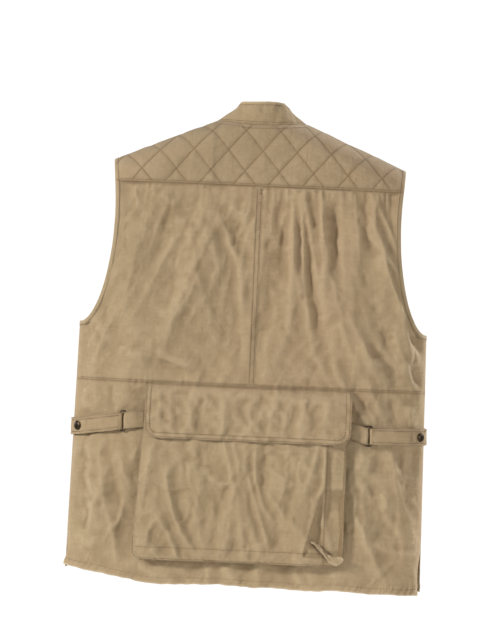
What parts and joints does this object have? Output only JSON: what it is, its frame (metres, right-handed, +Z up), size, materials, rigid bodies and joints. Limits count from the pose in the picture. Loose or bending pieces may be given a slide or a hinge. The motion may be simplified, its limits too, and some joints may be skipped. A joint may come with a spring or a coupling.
{
  "type": "fishing vest",
  "caption": "Sleeveless khaki fishing vest with a quilted yoke, stand collar, bellows back pocket, flap pockets, side adjuster tabs and a separating front zip.",
  "frame": {"origin": "midway between the two neck points, where a hanger carries the shoulders", "axes": "+Z up, -Y out of the vest's front, +X to the wearer's left"},
  "size_m": [0.58, 0.1468, 0.7809],
  "materials": {
    "cotton_twill": "matt washed cotton twill, lighter along worn seams",
    "quilted_cotton": "matt washed cotton, padded and stitched in diamonds",
    "seam_binding": "matt cotton tape, topstitched",
    "zip_tape": "matt woven tape",
    "zip_metal": "aged brass",
    "snap_metal": "dark oxidised metal, lightly worn",
    "ring_metal": "dark oxidised wire"
  },
  "bodies": {
    "vest": {"back_yoke": "quilted_cotton", "lower_back_panel": "cotton_twill", "centre_back_seam": "seam_binding", "collar": "cotton_twill", "back_pocket_face": "cotton_twill", "back_pocket_gusset": "cotton_twill", "back_panel_left": "cotton_twill", "front_yoke_left": "quilted_cotton", "front_panel_left": "cotton_twill", "armhole_binding_left": "seam_binding", "chest_pocket_left": "cotton_twill", "chest_snap_stud_left": "snap_metal", "lower_pocket_left": "cotton_twill", "lower_snap_stud_left": "snap_metal", "waist_tab_left": "cotton_twill", "ring_strap_left": "cotton_twill", "tab_ring_left": "ring_metal", "tab_snap_stud_left": "snap_metal", "back_panel_right": "cotton_twill", "front_yoke_right": "quilted_cotton", "front_panel_right": "cotton_twill", "armhole_binding_right": "seam_binding", "chest_pocket_right": "cotton_twill", "chest_snap_stud_right": "snap_metal", "lower_pocket_right": "cotton_twill", "lower_snap_stud_right": "snap_metal", "waist_tab_right": "cotton_twill", "ring_strap_right": "cotton_twill", "tab_ring_right": "ring_metal", "tab_snap_stud_right": "snap_metal"},
    "back_flap": {"back_pocket_flap": "cotton_twill"},
    "chest_flap_left": {"chest_flap_left": "cotton_twill", "chest_snap_cap_left": "snap_metal"},
    "lower_flap_left": {"lower_flap_left": "cotton_twill", "lower_snap_cap_left": "snap_metal"},
    "tab_end_left": {"waist_tab_end_left": "cotton_twill", "tab_snap_cap_left": "snap_metal"},
    "front_edge_left": {"front_placket_left": "cotton_twill", "collar_end_left": "cotton_twill", "zip_tape_left": "zip_tape", "zip_teeth_left": "zip_metal", "zip_top_stop_left": "zip_metal", "zip_box": "zip_metal"},
    "chest_flap_right": {"chest_flap_right": "cotton_twill", "chest_snap_cap_right": "snap_metal"},
    "lower_flap_right": {"lower_flap_right": "cotton_twill", "lower_snap_cap_right": "snap_metal"},
    "tab_end_right": {"waist_tab_end_right": "cotton_twill", "tab_snap_cap_right": "snap_metal"},
    "front_edge_right": {"front_placket_right": "cotton_twill", "collar_end_right": "cotton_twill", "zip_tape_right": "zip_tape", "zip_teeth_right": "zip_metal", "zip_top_stop_right": "zip_metal", "zip_pin": "zip_metal"},
    "zip_slider": {"zip_slider": "zip_metal"},
    "zip_pull": {"zip_pull": "zip_metal"}
  },
  "joints": [
    {"name": "back_flap_lift", "type": "hinge", "parent": "vest", "child": "back_flap", "pos_m": [0, 0.0627, -0.427], "axis": [1, 0, 0], "range_deg": [0, 140]},
    {"name": "chest_flap_lift_left", "type": "hinge", "parent": "vest", "child": "chest_flap_left", "pos_m": [0.138, -0.05337, -0.178], "axis": [-0.9985, -0.054, 0], "range_deg": [0, 140]},
    {"name": "chest_flap_lift_right", "type": "hinge", "parent": "vest", "child": "chest_flap_right", "pos_m": [-0.138, -0.05337, -0.178], "axis": [-0.9985, 0.054, 0], "range_deg": [0, 140]},
    {"name": "lower_flap_lift_left", "type": "hinge", "parent": "vest", "child": "lower_flap_left", "pos_m": [0.155, -0.05262, -0.478], "axis": [-0.9964, -0.0848, 0], "range_deg": [0, 140]},
    {"name": "lower_flap_lift_right", "type": "hinge", "parent": "vest", "child": "lower_flap_right", "pos_m": [-0.155, -0.05262, -0.478], "axis": [-0.9964, 0.0848, 0], "range_deg": [0, 140]},
    {"name": "tab_peel_left", "type": "hinge", "parent": "vest", "child": "tab_end_left", "pos_m": [0.20887, 0.05888, -0.496], "axis": [0, 0, 1], "range_deg": [0, 150]},
    {"name": "tab_peel_right", "type": "hinge", "parent": "vest", "child": "tab_end_right", "pos_m": [-0.19788, 0.06076, -0.496], "axis": [0, 0, -1], "range_deg": [0, 150]},
    {"name": "front_edge_turn_left", "type": "hinge", "parent": "vest", "child": "front_edge_left", "pos_m": [0.05825, -0.0556, -0.4], "axis": [0, 0, 1], "range_deg": [0, 110]},
    {"name": "front_edge_turn_right", "type": "hinge", "parent": "vest", "child": "front_edge_right", "pos_m": [-0.05825, -0.0556, -0.4], "axis": [0, 0, -1], "range_deg": [0, 110]},
    {"name": "zip_slide", "type": "slide", "parent": "front_edge_left", "child": "zip_slider", "axis": [0, 0, 1], "range_m": [-0.17, 0.455]},
    {"name": "zip_pull_swing", "type": "hinge", "parent": "zip_slider", "child": "zip_pull", "pos_m": [0.0033, -0.0543, -0.56], "axis": [-1, 0, 0], "range_deg": [0, 170]}
  ]
}
